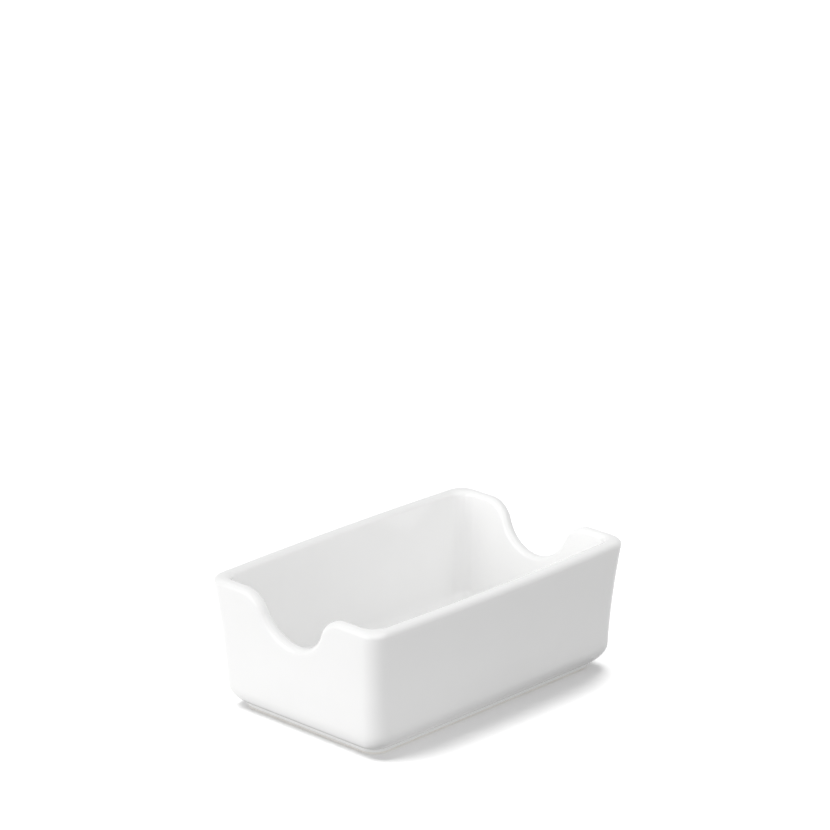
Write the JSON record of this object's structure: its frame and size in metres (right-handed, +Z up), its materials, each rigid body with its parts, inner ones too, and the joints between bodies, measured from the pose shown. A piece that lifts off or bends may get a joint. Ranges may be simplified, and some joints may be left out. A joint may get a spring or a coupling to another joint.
{
  "type": "tea bag holder",
  "caption": "Open rectangular ceramic tray with leaning walls, a rim with rounded edges, finger notches in the short ends and a low foot ring, for standing tea bags or sachets upright.",
  "frame": {"origin": "middle of the standing face of the foot ring", "axes": "+X along the length, towards one notched end; +Y across the width; +Z up, out of the open top"},
  "size_m": [0.115, 0.075, 0.0435],
  "materials": {
    "fired_clay": "bare fired clay, matt and slightly rough",
    "white_glaze": "smooth glossy white glaze",
    "underside_glaze": "glossy white glaze, a little thinner than on the outside"
  },
  "bodies": {
    "root": {"clay_body": "fired_clay", "glaze_coat": "white_glaze", "underside_glaze": "underside_glaze"}
  },
  "joints": []
}
